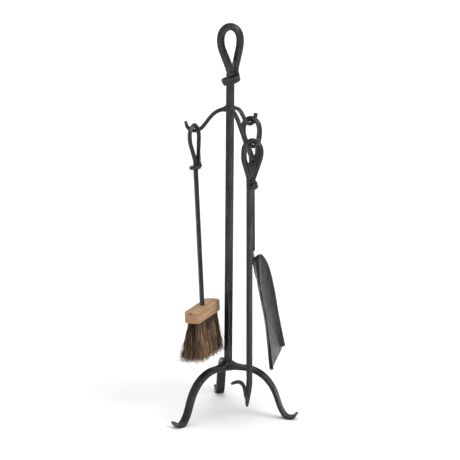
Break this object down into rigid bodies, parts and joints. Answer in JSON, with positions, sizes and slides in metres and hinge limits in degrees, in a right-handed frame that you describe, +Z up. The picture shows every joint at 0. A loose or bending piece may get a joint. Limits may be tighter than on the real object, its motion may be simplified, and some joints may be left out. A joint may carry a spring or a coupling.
{
  "type": "fireplace tool set",
  "caption": "Forged iron fireplace tool set: three-legged stand with a loop handle and hooked arms that carry a wood-backed hearth brush, a barbed poker and an ash shovel.",
  "frame": {"origin": "on the floor, under the axis of the post", "axes": "+Z up along the post, -Y towards the front, the brush hangs on the -X side"},
  "size_m": [0.2496, 0.2418, 0.7893],
  "materials": {
    "iron": "hammered satin",
    "wood": "sanded bare beech",
    "bristle": "coarse natural fibre"
  },
  "bodies": {
    "stand": {"post": "iron", "arm_left": "iron", "arm_back": "iron", "arm_front": "iron", "leg_right": "iron", "leg_left": "iron", "leg_back": "iron"},
    "brush": {"brush_bar": "iron", "brush_block": "wood", "brush_bristles": "bristle"},
    "poker": {"poker_bar": "iron", "poker_barb": "iron"},
    "shovel": {"shovel_bar": "iron", "shovel_pan": "iron", "shovel_rivets": "iron"}
  },
  "joints": [
    {"name": "brush_lift", "type": "slide", "parent": "stand", "child": "brush", "axis": [-0.5, 0, 0.866], "range_m": [0, 0.12]},
    {"name": "poker_lift", "type": "slide", "parent": "stand", "child": "poker", "axis": [0.2868, -0.4096, 0.866], "range_m": [0, 0.12]},
    {"name": "shovel_lift", "type": "slide", "parent": "stand", "child": "shovel", "axis": [0.2868, 0.4096, 0.866], "range_m": [0, 0.12]}
  ]
}
